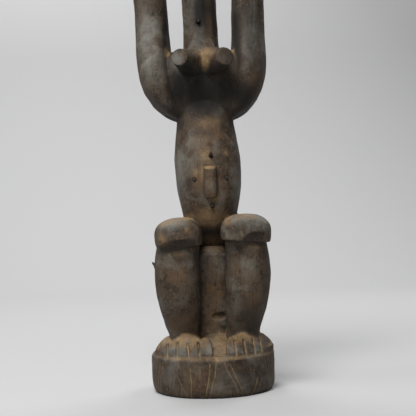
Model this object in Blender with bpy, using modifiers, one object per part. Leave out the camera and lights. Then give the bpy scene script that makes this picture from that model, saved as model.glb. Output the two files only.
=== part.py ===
# Carved ancestor figure: a woman seated on a stool with raised arms, cut with her round plinth
# from one log. Six small iron pegs are driven into her neck, belly and calf.
# She faces -Y. The origin is the centre of the plinth's underside.

import math

import bmesh
import bpy
import numpy as np
from mathutils import Matrix, Vector
from mathutils.bvhtree import BVHTree

# Driving dimensions, in metres
FIGURE_HEIGHT = 0.458
PLINTH_RADIUS = 0.061
PLINTH_HEIGHT = 0.0355
PLINTH_BOTTOM_ROUNDING_IN = 0.0045
PLINTH_BOTTOM_ROUNDING_UP = 0.012
PLINTH_TOP_BEVEL = 0.0045
PLINTH_CROWN = 0.004
FOOT_MARGIN = 0.0005
FOOT_SETBACK = 0.0035
STOOL_RADIUS = 0.0235
PEG_RADIUS = 0.002
PEG_SUNK = 0.009
PEG_CLEARANCE = 0.0003

PEG_SIDES = 14
HOLE_OVERRUN = 0.005

# How finely the forms are fused, and how many triangles stay
FUSE_STEP = 0.0014
CARVED_TRIANGLES = 8500

# The figure's own proportions are shares of its height. One share is 1 mm at full size.
SHARES = 458
SHARE = FIGURE_HEIGHT / SHARES
WASTE = 0.004

# Sideways bend of the log, as (height above the plinth, shift to +X), in shares
BEND = (
    (0, 0.5),
    (45, 1.7),
    (80, 2.4),
    (120, 2.3),
    (165, 1.8),
    (200, 1.1),
    (235, 0.3),
    (265, -0.8),
    (300, -1.5),
    (458, -2.6),
)

# Level sections, as (height, centre y, half width, half depth), in shares
BELLY = (
    (103, 17, 13, 11),
    (112, 14, 16, 15),
    (122, 8, 22, 26),
    (131, 4.5, 24.8, 29.5),
    (140, 2.5, 27.2, 31.5),
    (150, 1.5, 29.3, 33),
    (165, 0.5, 31.6, 34),
    (183, 0, 32.8, 34.3),
    (201, 0, 32, 33),
    (220, 1, 29.5, 30),
    (235, 2, 27, 27.5),
    (246, 2.5, 25.6, 25.4),
    (256, 3, 24, 23.5),
    (268, 3, 20, 20),
)
CHEST = (
    (232, 3, 29, 15),
    (237, 3, 39, 19),
    (244, 3, 47.5, 22.5),
    (252, 3, 53.5, 25.5),
    (262, 3, 58.5, 28.5),
    (274, 3, 62, 29.5),
    (287, 3, 63.6, 28),
    (295, 3, 63.6, 23.5),
    (299.5, 3, 61, 18),
)
COLLAR = (
    (291, -8, 17, 14.5),
    (302, -7, 14.5, 14),
    (312, -5.5, 11.5, 13.2),
    (320, -4, 8.5, 12.6),
    (324, -3, 6, 11),
)
# A flat pared off its front, as (a point on the flat, the way it faces)
COLLAR_FLAT = ((0, -18.3, 312), (-0.16, -1, 0.2))
NECK = (
    (285, 3, 20, 19),
    (297, 3, 18.7, 18.2),
    (310, 3, 17.6, 17.5),
    (330, 2, 17, 17),
    (350, 1, 16.8, 17),
    (366, 0, 17, 17.5),
    (378, 0, 17, 18),
)
NECK_FLAT = ((-7.9, -13.7, 345), (-0.78, -0.63, 0))
HEAD = (
    (361, -15, 8, 7),
    (365, -11, 14, 14),
    (372, -6, 19, 22.5),
    (382, -3, 23.3, 28),
    (394, -1, 25.8, 31.5),
    (407, 0.5, 26.8, 33),
    (420, 1, 26.6, 33),
    (432, 2, 24.3, 30.5),
    (442, 2.5, 19.5, 25),
    (450, 3, 12, 16),
    (454, 3, 5, 7),
)
# Level sections of a leg, as (height, centre y, half width, half depth, distance from the middle)
SHIN = (
    (12, -18, 17, 12, 29),
    (23, -19, 16.3, 13.5, 29.2),
    (33, -20.8, 17.2, 16, 30),
    (45, -23.3, 19.3, 18.6, 31.6),
    (60, -26, 21, 21, 33.2),
    (77, -27.5, 21.8, 21.5, 34.4),
    (93, -28.5, 21.3, 21, 34.2),
    (107, -29, 20.4, 20, 33),
    (120, -29, 19, 18, 32),
)
# Sections square to the limb, as (x, y, height, half across, half through), in shares
THIGH = (
    (32, -57.3, 119.5, 10, 8),
    (32, -56.4, 119.5, 16, 12),
    (32, -53.5, 119.5, 19.8, 14.4),
    (32, -48, 119.5, 22.4, 16),
    (32, -40, 119.5, 23.8, 16.8),
    (31.5, -30, 119.5, 23.6, 17),
    (30, -15, 119, 21.5, 17.5),
    (26, 0, 118.5, 19.5, 18),
    (21, 15, 118.5, 18, 18),
    (17, 28, 118, 13, 14),
)
ARM = (
    (24, 0, 238, 6, 12),
    (30, -1, 244, 9, 17.5),
    (36.5, -2.5, 252, 12.5, 21.5),
    (41.5, -3.5, 262, 15.5, 24.5),
    (45, -4, 274, 16.8, 25.5),
    (46.6, -3.5, 286, 17, 24.5),
    (47.2, -1, 298, 17, 22),
    (47.5, 1.5, 315, 16.8, 18.5),
    (48, 2, 335, 16.4, 16.5),
    (48.8, 1, 355, 16, 16),
    (49.6, 0, 373, 16, 15.5),
    (49.2, -1, 387, 15.8, 15.5),
    (46, -2, 401, 14.3, 14.5),
    (40.5, -2, 414, 12.4, 13),
    (34, -1, 426, 10, 11.4),
    (28.5, -0.5, 435, 7.8, 10.2),
    (23.5, 0, 441.5, 5, 8.5),
)
HAND = (
    (33.5, 0, 427, 9, 7.5),
    (29.5, 0, 434, 10, 7),
    (24.5, -0.5, 440.5, 11.2, 6.2),
    (18, -1, 447, 11.8, 5.2),
    (11.5, -1, 451.5, 11.2, 4.6),
    (5.5, -1, 453.5, 8.5, 3.6),
)
# Rows of a foot from heel to toes, as (y, height, inner edge, outer edge), for each side
FOOT = {
    -1: (
        (12, 9, 18, 40),
        (5, 15, 12, 50),
        (-7, 20, 8, 56.5),
        (-20, 22.5, 4, 59),
        (-31, 23, 3, 59.5),
        (-44, 23, 2.5, 60),
        (-58, 22, 3, 60),
    ),
    1: (
        (12, 9, 18, 40),
        (5, 15, 14, 50),
        (-7, 19, 12.5, 58),
        (-20, 21.5, 11.5, 61.5),
        (-31, 22.5, 11.5, 62),
        (-44, 23.5, 11.5, 62),
        (-58, 23, 12, 62),
    ),
}
# The toes slope down like the side of a cone, as (centre y, radius at the low end, low, radius, high)
TOE_SLOPE = (6, 63.5, 4.5, 46.5, 22.5)
TOE_LENGTH = 10
FOOT_SQUARENESS = {-1: 2.15, 1: 2.7}
# The big toes stand up a little, as (y, height, inner edge, outer edge), for each side
BIG_TOE = {
    -1: ((-30, 19, 2, 14), (-40, 20, 1.5, 13.8), (-58, 20, 1, 13.2)),
    1: ((-30, 19, 12.5, 20.5), (-40, 20, 12.3, 20.3), (-58, 20, 12.2, 20.5)),
}
BIG_TOE_LIFT = 1.5
# Grooves between the toes, as (distance from the middle at the top, at the tip), for each side
TOE_GROOVES = {
    -1: ((15, 13), (25.2, 24), (35.3, 35.5), (45, 45)),
    1: ((20, 20.8), (29, 31), (38, 39.8), (44.8, 46)),
}
TOE_GROOVE_WIDTH = 4
TOE_GROOVE_DEPTH = 3.6
# The sloping ground between the feet, as (x, y, height, half across, half through)
GROUND = (
    (2, 0, 0, 15, 25),
    (3, -10, 0, 14.5, 22),
    (3.5, -20, 0, 13.5, 19),
    (4, -32, 0, 12.5, 12.5),
    (4, -44, 0, 11.5, 7),
    (4, -56, 0, 8, 1.6),
)
# Level sections of the stool under the seat
STOOL_MIDDLE = 11
STOOL_DEPTH = 26.5
STOOL = ((-8, 1.12), (6, 1.04), (30, 1), (92, 1), (98, 0.96), (103, 0.86), (107, 0.66))
STOOL_NOTCH = ((-1, 38), (15, 37))
# Breasts, as the middle and radius of the root, and of the flat tip
BREASTS = {
    -1: ((-6, -18, 285.5), 15, (-20.9, -55, 287.8), 8.2),
    1: ((7, -18, 286.5), 15, (22.6, -55, 287.2), 8.4),
}
NAVEL = (
    (1.6, -32.6, 186.5, 4.6, 3.4),
    (1.6, -33.4, 182, 5.2, 4.6),
    (1.6, -34.2, 170, 5.5, 5.4),
    (1.6, -34, 158.5, 5.5, 7.5),
)

# How the knees differ, as (shift outwards, share of the width, shift up)
KNEE = {-1: (-0.2, 0.955, -1), 1: (1.3, 1.015, 1)}
# Flats pared off the kneecaps, as (a point on the flat, the way it faces), and a scoop in the left one
KNEE_FLATS = {
    -1: (((-32, -50, 106.8), (0.117, 0, -1)), ((-32, -57, 115.3), (0.055, -0.79, -0.61))),
    1: (((33.3, -50, 112), (-0.08, 0, -1)),),
}
KNEE_SCOOP = ((43.5, -63.5, 110), (16, 14.5, 13.5))

# The head's forms, as (x, y, height, half across, half through)
NOSE = (
    (0, -31, 411, 2.5, 2.6),
    (0, -32.6, 404, 3, 3),
    (0, -34.6, 395, 4, 3.8),
    (0, -34.8, 388.6, 5.4, 3.9),
    (0, -32, 385, 4.4, 2.6),
)
BROW = (
    (0.5, -30.6, 409.5, 2.6, 2.6),
    (8, -30.2, 413.5, 2.8, 3),
    (16, -26.2, 412.5, 2.8, 3),
    (23, -17.5, 406, 2, 2.2),
)
CREST = (
    (0, -24, 437, 4, 3),
    (0, -13, 448, 4.6, 4),
    (0, 2, 453.5, 4.8, 5),
    (0, 18, 449, 4.8, 5),
    (0, 30, 435, 4.6, 4.6),
    (0, 35, 416, 4, 4),
    (0, 34, 398, 3, 3),
)
HAIR_THICKNESS = 2.4
FACE_GROOVE_WIDTH = 2
FINGER_GAPS = (-6.5, -1, 4.5)

# Pegs, as (x, height, standing out) on the front, or (y, height, standing out) on the outer calf
FRONT_PEGS = {
    "neck_peg": (-1.5, 328, 4),
    "belly_peg_top": (3.4, 194.5, 4.8),
    "belly_peg_right": (-13.6, 172.3, 1.2),
    "belly_peg_left": (17.4, 173, 1),
    "belly_peg_bottom": (2.5, 146, 3.8),
}
CALF_PEG = (-24, 90, 3.6)


def new_collection(name, parent=None):
    collection = bpy.data.collections.new(name)
    (parent or bpy.context.scene.collection).children.link(collection)
    return collection


def material(name, colour, roughness, metallic=0.0):
    made = bpy.data.materials.new(name)
    made.use_nodes = True
    made.diffuse_color = (*colour, 1)
    shader = made.node_tree.nodes["Principled BSDF"]
    shader.inputs["Base Color"].default_value = (*colour, 1)
    shader.inputs["Roughness"].default_value = roughness
    shader.inputs["Metallic"].default_value = metallic
    return made


def mesh_object(name, bm, collection):
    mesh = bpy.data.meshes.new(name)
    if bm.calc_volume(signed=True) < 0:
        bmesh.ops.reverse_faces(bm, faces=bm.faces)
    bm.to_mesh(mesh)
    bm.free()
    made = bpy.data.objects.new(name, mesh)
    collection.objects.link(made)
    return made


def smooth_rows(rows, steps):
    """Rows on a Catmull-Rom curve through the given ones, with some more between each two."""
    rows = np.array(rows, float)
    ends = np.vstack([2 * rows[0] - rows[1], rows, 2 * rows[-1] - rows[-2]])
    out = []
    for i in range(1, len(ends) - 2):
        before, here, there, after = ends[i - 1 : i + 3]
        for t in np.arange(steps) / steps:
            out.append(
                0.5
                * (
                    2 * here
                    + (there - before) * t
                    + (2 * before - 5 * here + 4 * there - after) * t**2
                    + (3 * here - before - 3 * there + after) * t**3
                )
            )
    out.append(rows[-1])
    return np.array(out)


def outline(sides, squareness, far=None):
    """Points round a unit oval. Squareness 2 is an ellipse, more is boxier, and far is the +y half's."""
    turn = np.arange(sides) * 2 * math.pi / sides
    power = np.where(np.sin(turn) > 0, 2 / (far or squareness), 2 / squareness)
    x = np.sign(np.cos(turn)) * np.abs(np.cos(turn)) ** power
    y = np.sign(np.sin(turn)) * np.abs(np.sin(turn)) ** power
    return np.column_stack([x, y])


def skin(name, rings, collection):
    """A closed form over rings of points, capped at both ends."""
    bm = bmesh.new()
    loops = [[bm.verts.new(Vector(p) * SHARE) for p in ring] for ring in rings]
    count = len(loops[0])
    for low, high in zip(loops, loops[1:]):
        for i in range(count):
            j = (i + 1) % count
            bm.faces.new((low[i], low[j], high[j], high[i]))
    bm.faces.new(loops[0][::-1])
    bm.faces.new(loops[-1])
    return mesh_object(name, bm, collection)


def stack(name, rows, collection, side=0, squareness=2.2, spine=0.0):
    """A form of level sections. A side of -1 or 1 moves it off the middle; spine dents its back."""
    unit = outline(40, squareness)
    turn = np.arctan2(unit[:, 1], unit[:, 0])
    dent = 1 - spine * np.exp(-(((turn - math.pi / 2) / 0.22) ** 2))
    rings = []
    for row in smooth_rows(rows, 3):
        height, y, width, depth = row[:4]
        x = side * row[4] if side else 0
        ring = [(x + width * u, y + depth * v * d, height) for (u, v), d in zip(unit, dent)]
        rings.append(ring)
    return skin(name, rings, collection)


def limb(name, rows, collection, side=1, squareness=2.2, across=Vector((1, 0, 0)), far=None):
    """A form of sections square to its own run."""
    rows = smooth_rows(rows, 3)
    rows[:, 0] *= side
    unit = outline(32, squareness, far)
    middle = rows[:, :3]
    run = np.gradient(middle, axis=0)
    rings = []
    for point, along, row in zip(middle, run, rows):
        along = Vector(along).normalized()
        wide = (across - along * across.dot(along)).normalized()
        thick = along.cross(wide)
        ring = [Vector(point) + wide * (row[3] * u) + thick * (row[4] * v) for u, v in unit]
        rings.append(ring)
    return skin(name, rings, collection)


def ball(name, centre, radii, collection):
    bm = bmesh.new()
    bmesh.ops.create_uvsphere(bm, u_segments=24, v_segments=16, radius=1)
    place = Matrix.Translation(Vector(centre) * SHARE) @ Matrix.Diagonal((*(Vector(radii) * SHARE), 1))
    bm.transform(place)
    return mesh_object(name, bm, collection)


def cone(name, start, end, start_radius, end_radius, collection, sides=28):
    """A round form between two points, in metres."""
    start, end = Vector(start), Vector(end)
    bm = bmesh.new()
    bmesh.ops.create_cone(
        bm,
        cap_ends=True,
        segments=sides,
        radius1=start_radius,
        radius2=end_radius,
        depth=(end - start).length,
    )
    turn = (end - start).to_track_quat("Z", "Y").to_matrix().to_4x4()
    bm.transform(Matrix.Translation((start + end) / 2) @ turn)
    return mesh_object(name, bm, collection)


def knife(name, start, end, width, depth, up, collection):
    """A bar with a diamond section, which cuts a V groove from start to end, in shares."""
    start, end, up = Vector(start) * SHARE, Vector(end) * SHARE, Vector(up)
    along = (end - start).normalized()
    wide = up.cross(along).normalized()
    up = along.cross(wide)
    bm = bmesh.new()
    bmesh.ops.create_cone(bm, cap_ends=True, segments=4, radius1=1, radius2=1, depth=(end - start).length)
    frame = Matrix((wide, up, along)).transposed().to_4x4()
    size = Matrix.Diagonal((width / 2 * SHARE, depth * SHARE, 1, 1))
    bm.transform(Matrix.Translation((start + end) / 2) @ frame @ size)
    return mesh_object(name, bm, collection)


def pare(form, point, facing):
    """Pares a closed form down to a flat through a point, in shares, as a chisel does."""
    bm = bmesh.new()
    bm.from_mesh(form.data)
    everything = bm.verts[:] + bm.edges[:] + bm.faces[:]
    done = bmesh.ops.bisect_plane(
        bm, geom=everything, plane_co=Vector(point) * SHARE, plane_no=Vector(facing), clear_outer=True
    )
    rim = [item for item in done["geom_cut"] if isinstance(item, bmesh.types.BMEdge)]
    bmesh.ops.edgeloop_fill(bm, edges=rim)
    bmesh.ops.recalc_face_normals(bm, faces=bm.faces)
    if bm.calc_volume(signed=True) < 0:
        bmesh.ops.reverse_faces(bm, faces=bm.faces)
    bm.to_mesh(form.data)
    bm.free()


def cut(form, cutter, operation="DIFFERENCE"):
    modifier = form.modifiers.new("cut " + cutter.name, "BOOLEAN")
    modifier.operation = operation
    modifier.object = cutter
    cutter.hide_render = True
    cutter.display_type = "WIRE"


def plinth(collection):
    """The turned drum below the feet, with some waste below its underside to be sawn off."""
    height = PLINTH_HEIGHT
    inwards, up = PLINTH_BOTTOM_ROUNDING_IN, PLINTH_BOTTOM_ROUNDING_UP
    corner = [(1 - math.cos(t), 1 - math.sin(t)) for t in np.radians((0, 30, 60, 90))]
    profile = [(0, height + PLINTH_CROWN), (PLINTH_RADIUS - PLINTH_TOP_BEVEL, height + PLINTH_CROWN)]
    profile += [(PLINTH_RADIUS, height)]
    profile += [(PLINTH_RADIUS - inwards * a, up * b) for a, b in corner]
    profile += [(PLINTH_RADIUS - inwards, -WASTE), (0, -WASTE)]
    bm = bmesh.new()
    points = [bm.verts.new((x, 0, z - height)) for x, z in profile]
    for a, b in zip(points, points[1:]):
        bm.edges.new((a, b))
    mesh = bpy.data.meshes.new("plinth")
    bm.to_mesh(mesh)
    bm.free()
    made = bpy.data.objects.new("plinth", mesh)
    collection.objects.link(made)
    screw = made.modifiers.new("turn", "SCREW")
    screw.steps = screw.render_steps = 72
    screw.use_merge_vertices = True
    screw.merge_threshold = 1e-5
    return made


def torso(forms):
    stack("belly", BELLY, forms, squareness=2.4, spine=0.1)
    stack("chest", CHEST, forms, squareness=2.3, spine=0.12)
    pare(stack("neck", NECK, forms), *NECK_FLAT)
    pare(stack("collar", COLLAR, forms, squareness=2.8), *COLLAR_FLAT)
    for side in (-1, 1):
        root, root_radius, tip, tip_radius = BREASTS[side]
        start, end = Vector(root) * SHARE, Vector(tip) * SHARE
        cone(f"breast {side}", start, end, root_radius * SHARE, tip_radius * SHARE, forms)
        ball(f"shoulder blade {side}", (side * 23, 27, 272), (15, 9, 20), forms)
        ball(f"buttock {side}", (side * 17, 22, 118), (20, 19, 19), forms)
    limb("navel", NAVEL, forms, squareness=2.6)


def legs(forms, cutters):
    for side in (-1, 1):
        stack(f"shin {side}", SHIN, forms, side=side, squareness=2.3)
        out, share, up = KNEE[side]
        rows = [(x + out, y, z + up, across * share, through) for x, y, z, across, through in THIGH]
        thigh = limb(f"thigh {side}", rows, forms, side=side, squareness=2.3, far=3.4)
        for point, facing in KNEE_FLATS[side]:
            pare(thigh, point, facing)
        if side > 0:
            cut(thigh, ball("knee scoop", *KNEE_SCOOP, cutters))
        foot(side, forms, cutters)
    radius = STOOL_RADIUS / SHARE
    rows = [(height, STOOL_MIDDLE, radius * share, STOOL_DEPTH * share) for height, share in STOOL]
    stool = stack("stool", rows, forms, squareness=2.7)
    front = STOOL_MIDDLE - STOOL_DEPTH
    start, end = [(x, front, height) for x, height in STOOL_NOTCH]
    cut(stool, knife("stool notch", start, end, 6, 3.5, (0, -1, 0), cutters))
    limb("ground", GROUND, forms, squareness=3.4)


def toe_height(x, y):
    """Height of the toes' slope above the plinth, in shares."""
    middle, low_radius, low, high_radius, high = TOE_SLOPE
    return low + (high - low) * (low_radius - math.hypot(x, y - middle)) / (low_radius - high_radius)


def sloped(name, rows, side, squareness, lift, forms, cutters):
    """A block on the plinth, rounded with its rim and sloped down towards it."""
    rows = [((i + o) / 2, y, 0, (o - i) / 2, top) for y, top, i, o in rows]
    block = limb(name, rows, forms, side=side, squareness=squareness)
    reach = PLINTH_RADIUS - FOOT_MARGIN
    low, high = Vector((0, FOOT_SETBACK, -0.02)), Vector((0, FOOT_SETBACK, 0.04))
    cut(block, cone(f"rim of {name}", low, high, reach, reach, cutters, 72), "INTERSECT")
    middle, low_radius, low, high_radius, high = TOE_SLOPE
    spread = (low_radius - high_radius) / (high - low)
    bottom = Vector((0, middle, low + lift - 20)) * SHARE
    top = Vector((0, middle, high + lift + 10)) * SHARE
    wide = (low_radius + spread * 20) * SHARE
    narrow = (high_radius - spread * 10) * SHARE
    cut(block, cone(f"slope of {name}", bottom, top, wide, narrow, cutters, 72), "INTERSECT")
    return block


def foot(side, forms, cutters):
    """A block of a foot with grooves between the toes, and a big toe that stands up a little."""
    block = sloped(f"foot {side}", FOOT[side], side, FOOT_SQUARENESS[side], 0, forms, cutters)
    sloped(f"big toe {side}", BIG_TOE[side], side, 3.5, BIG_TOE_LIFT, forms, cutters)
    reach = PLINTH_RADIUS - FOOT_MARGIN
    for number, (high_x, tip_x) in enumerate(TOE_GROOVES[side]):
        tip_y = FOOT_SETBACK / SHARE - math.sqrt((reach / SHARE) ** 2 - tip_x**2)
        high_y = tip_y + TOE_LENGTH
        start = (side * high_x, high_y, toe_height(high_x, high_y))
        end = (side * tip_x, tip_y - 2, toe_height(tip_x, tip_y - 2))
        groove = knife(
            f"toe groove {side} {number}", start, end, TOE_GROOVE_WIDTH, TOE_GROOVE_DEPTH, (0, 0, 1), cutters
        )
        cut(block, groove)


def arms(forms, cutters):
    for side in (-1, 1):
        limb(f"arm {side}", ARM, forms, side=side, squareness=2.2)
        hand = limb(f"hand {side}", HAND, forms, side=side, squareness=2.5, across=Vector((0, 1, 0)))
        for number, y in enumerate(FINGER_GAPS):
            start = (side * 19, y, 454)
            end = (side * 1, y, 459)
            up = (side * 0.45, 0, 1)
            cut(hand, knife(f"finger groove {side} {number}", start, end, 2.4, 4.2, up, cutters))


def head(forms, cutters):
    stack("head", HEAD, forms, squareness=2.2)
    limb("nose", NOSE, forms)
    ball("chin", (0, -21.5, 367), (7.5, 6.5, 5.5), forms)
    lips = ball("lips", (0, -28, 376), (8.8, 4.8, 4.5), forms)
    width = FACE_GROOVE_WIDTH
    cut(lips, knife("mouth slit", (-10, -33, 376), (10, -33, 376), width, 2.8, (0, -1, 0), cutters))
    for side in (-1, 1):
        ball(f"nostril {side}", (side * 4.6, -31.5, 388), (3, 3.2, 2.8), forms)
        eye = ball(f"eye {side}", (side * 11.4, -27.6, 399.5), (8, 4.6, 4.8), forms)
        start, end = (side * 3, -33.4, 399), (side * 20, -29.8, 399)
        cut(eye, knife(f"eye slit {side}", start, end, width, 2.8, (0, -1, 0), cutters))
        limb(f"brow {side}", BROW, forms, side=side, across=Vector((0, 0, 1)))
        ball(f"ear {side}", (side * 25.3, 3, 397), (3.2, 6.5, 9.5), forms)
    more = HAIR_THICKNESS
    hair = stack("hair", [(h, y + 0.6, w + more, d + more) for h, y, w, d in HEAD[2:-1]], forms)
    hairline = bmesh.new()
    bmesh.ops.create_cube(hairline, size=2)
    tilt = Matrix.Rotation(math.radians(-36), 4, "X")
    block = Matrix.Translation(Vector((0, -24, 384)) * SHARE) @ tilt @ Matrix.Diagonal((0.04, 0.08, 0.0385, 1))
    hairline.transform(block)
    cut(hair, mesh_object("hairline", hairline, cutters))
    limb("crest", CREST, forms)


def bend(height):
    """How far the log has bent to +X at this height above the plinth, in metres."""
    heights, shifts = zip(*BEND)
    return float(np.interp(height / SHARE, heights, shifts)) * SHARE


def fuse(name, forms, collection):
    """All forms in one mesh, bent as the log is, then fused into one surface and thinned."""
    graph = bpy.context.evaluated_depsgraph_get()
    bm = bmesh.new()
    for form in forms.objects:
        mesh = form.evaluated_get(graph).to_mesh()
        bm.from_mesh(mesh)
        form.evaluated_get(graph).to_mesh_clear()
    for vertex in bm.verts:
        if vertex.co.z > 0:
            vertex.co.x += bend(vertex.co.z)
        vertex.co.z += PLINTH_HEIGHT
    mesh = bpy.data.meshes.new(name)
    bm.to_mesh(mesh)
    bm.free()
    made = bpy.data.objects.new(name, mesh)
    collection.objects.link(made)
    remesh = made.modifiers.new("fuse", "REMESH")
    remesh.mode = "VOXEL"
    remesh.voxel_size = FUSE_STEP
    remesh.use_smooth_shade = True
    soften = made.modifiers.new("soften", "SMOOTH")
    soften.factor = 0.5
    soften.iterations = 2
    thin = made.modifiers.new("thin", "DECIMATE")
    thin.use_collapse_triangulate = True
    return made, thin


def thin_to(made, thin, triangles):
    """Sets the Decimate share so that about this many triangles stay."""
    thin.ratio = 1
    graph = bpy.context.evaluated_depsgraph_get()
    mesh = made.evaluated_get(graph).to_mesh()
    mesh.calc_loop_triangles()
    thin.ratio = min(1.0, triangles / len(mesh.loop_triangles))
    made.evaluated_get(graph).to_mesh_clear()


def saw_off_waste(made, cutters):
    bm = bmesh.new()
    bmesh.ops.create_cube(bm, size=1)
    side = 3 * PLINTH_RADIUS
    depth = 4 * WASTE
    bm.transform(Matrix.Translation((0, 0, -depth / 2)) @ Matrix.Diagonal((side, side, depth, 1)))
    cut(made, mesh_object("saw", bm, cutters))


def drive_pegs(figure, collection, cutters, iron):
    """Drills a hole for each peg square to the wood's surface, and stands the peg in it."""
    graph = bpy.context.evaluated_depsgraph_get()
    wood = BVHTree.FromObject(figure, graph)
    looks = {}
    for name, (x, height, standing) in FRONT_PEGS.items():
        where = Vector((x * SHARE + bend(height * SHARE), -1, PLINTH_HEIGHT + height * SHARE))
        looks[name] = (where, Vector((0, 1, 0)), standing * SHARE)
    y, height, standing = CALF_PEG
    where = Vector((-1, y * SHARE, PLINTH_HEIGHT + height * SHARE))
    looks["calf_peg"] = (where, Vector((1, 0, 0)), standing * SHARE)
    for name, (eye, sight, standing) in looks.items():
        spot = wood.ray_cast(eye, sight)[0]
        bottom = spot + sight * PEG_SUNK
        top = spot - sight * standing
        peg = cone(name, bottom, top, PEG_RADIUS, PEG_RADIUS, collection, PEG_SIDES)
        bevel = peg.modifiers.new("worn end", "BEVEL")
        bevel.width = PEG_RADIUS * 0.3
        bevel.segments = 1
        for face in peg.data.polygons:
            face.use_smooth = len(face.vertices) == 4
        peg.data.materials.append(iron)
        hole_bottom = bottom + sight * PEG_CLEARANCE
        hole_mouth = spot - sight * HOLE_OVERRUN
        bore = PEG_RADIUS + PEG_CLEARANCE
        cut(figure, cone("hole for " + name, hole_bottom, hole_mouth, bore, bore, cutters, PEG_SIDES))


def main():
    for old in list(bpy.data.objects):
        bpy.data.objects.remove(old)
    figure_parts = new_collection("ancestor figure")
    forms = new_collection("forms")
    cutters = new_collection("cutters")
    forms.hide_render = True
    wood = material("dark aged wood", (0.105, 0.078, 0.056), 0.55)
    iron = material("rusted iron", (0.03, 0.032, 0.034), 0.5, 0.6)
    plinth(forms)
    torso(forms)
    legs(forms, cutters)
    arms(forms, cutters)
    head(forms, cutters)
    bpy.context.view_layer.update()
    figure, thin = fuse("figure", forms, figure_parts)
    thin_to(figure, thin, CARVED_TRIANGLES)
    figure.data.materials.append(wood)
    drive_pegs(figure, figure_parts, cutters, iron)
    saw_off_waste(figure, cutters)


main()
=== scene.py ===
import math

import bmesh
import bpy
import numpy as np
from mathutils import Matrix, Vector
from mathutils.kdtree import KDTree


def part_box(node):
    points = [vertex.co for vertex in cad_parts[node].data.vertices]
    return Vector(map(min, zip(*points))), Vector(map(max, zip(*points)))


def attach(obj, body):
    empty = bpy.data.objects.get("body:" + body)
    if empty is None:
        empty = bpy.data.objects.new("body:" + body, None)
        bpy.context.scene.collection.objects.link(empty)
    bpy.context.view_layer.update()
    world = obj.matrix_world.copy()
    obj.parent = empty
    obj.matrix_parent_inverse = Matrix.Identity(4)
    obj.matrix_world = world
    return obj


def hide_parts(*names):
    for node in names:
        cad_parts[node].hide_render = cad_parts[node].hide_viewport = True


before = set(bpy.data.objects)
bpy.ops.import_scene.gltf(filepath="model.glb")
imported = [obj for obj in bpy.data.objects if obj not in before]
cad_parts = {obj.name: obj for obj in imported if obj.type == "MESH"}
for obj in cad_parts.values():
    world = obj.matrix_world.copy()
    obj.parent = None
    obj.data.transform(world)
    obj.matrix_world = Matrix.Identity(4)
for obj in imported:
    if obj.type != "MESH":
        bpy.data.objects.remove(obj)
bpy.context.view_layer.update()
mm = 0.001

print("stage 1: the frame is in")

# The carving is built from simple closed forms, fused into one skin, and then cut and worn.
# Sizes are in millimetres, and heights run from the top of the plinth's rim unless a note says so.
carving = {
    "voxel": 0.68,  # how finely the forms are fused
    "soften": 4,  # rounds of smoothing after the fusing
    "triangles": 192000,  # what stays after thinning
    "facetLength": 20,  # one stroke of the adze along the grain
    "facetWidth": 9,
    "facetDepth": 0.4,
    "facets": 1100,
    "wobble": (((26, 26, 40), 3, 0.45), ((7, 7, 12), 5, 0.2), ((2.4, 2.4, 5), 7, 0.08)),  # size, seed, height
    "knocks": 26,  # on the plinth's edges
    "seed": 11,
}
plinth = {
    "radius": 61,
    "height": 35.5,
    "crown": 4,
    "topBevel": 4.5,
    "bottomIn": 4.5,
    "bottomUp": 12,
}
# sideways bend of the log: height, shift to +X
logBend = (
    (0, 0.5), (45, 1.7), (80, 2.4), (120, 2.3), (165, 1.8), (200, 1.1), (235, 0.3), (265, -0.8),
    (300, -1.5), (458, -2.6),
)

# level sections: height, centre y, half width, half depth
torso = {
    "belly": (
        (103, 17, 13, 11), (112, 14, 16, 15), (122, 8, 22, 26), (131, 4.5, 24.8, 29.5),
        (140, 2.5, 27.2, 31.5), (150, 1.5, 29.3, 33), (165, 0.5, 31.6, 34), (183, 0, 32.8, 34.3),
        (201, 0, 32, 33), (220, 1, 29.5, 30), (235, 2, 27, 27.5), (246, 2.5, 25.6, 25.4),
        (256, 3, 24, 23.5), (268, 3, 20, 20),
    ),
    "chest": (
        (232, 3, 29, 15), (237, 3, 39, 19), (244, 3, 47.5, 22.5), (252, 3, 53.5, 25.5),
        (262, 3, 58.5, 28.5), (274, 3, 62, 29.5), (287, 3, 63.6, 28), (295, 3, 63.6, 23.5),
        (299.5, 3, 61, 18),
    ),
    "neck": (
        (285, 3, 20, 19), (297, 3, 18.7, 18.2), (310, 3, 17.6, 17.5), (330, 2, 17, 17), (350, 1, 16.8, 17),
        (366, 0, 17, 17.5), (378, 0, 17, 18),
    ),
    "neckFlat": ((-7.9, -13.7, 345), (-0.78, -0.63, 0)),  # a point on the flat, and the way it faces
    "collar": (
        (291, -8, 17, 14.5), (302, -7, 14.5, 14), (312, -5.5, 11.5, 13.2), (320, -4, 8.5, 12.6),
        (324, -3, 6, 11),
    ),
    "collarFlat": ((0, -18.3, 312), (-0.16, -1, 0.2)),
    "navelFlats": (
        ((1.6, -34, 184.6), (0, -0.45, 1)),
        ((-2.2, -39.6, 170), (-0.8, -1, 0)),
        ((5.2, -39.6, 170), (0.8, -1, 0)),
    ),
    # x, y, height, half across, half through
    "navel": (
        (1.6, -33.4, 187.5, 5.6, 4.6), (1.6, -34.2, 183, 5.8, 5.6), (1.6, -34.2, 170, 5.5, 5.4),
        (1.6, -33.6, 158.5, 5.5, 6.6), (1.6, -32.4, 154.5, 4.2, 3.6),
    ),
    # middle and radius of the root, and of the flat tip
    "breasts": {
        -1: ((-6, -18, 285.5), 15, (-20.9, -55, 287.8), 8.2),
        1: ((7, -18, 286.5), 15, (22.6, -55, 287.2), 8.4),
    },
    # middle and half sizes of the rounded forms on both sides of the back
    "shoulder blade": ((23, 27, 272), (15, 9, 20)),
    "buttock": ((17, 22, 118), (20, 19, 19)),
}
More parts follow.
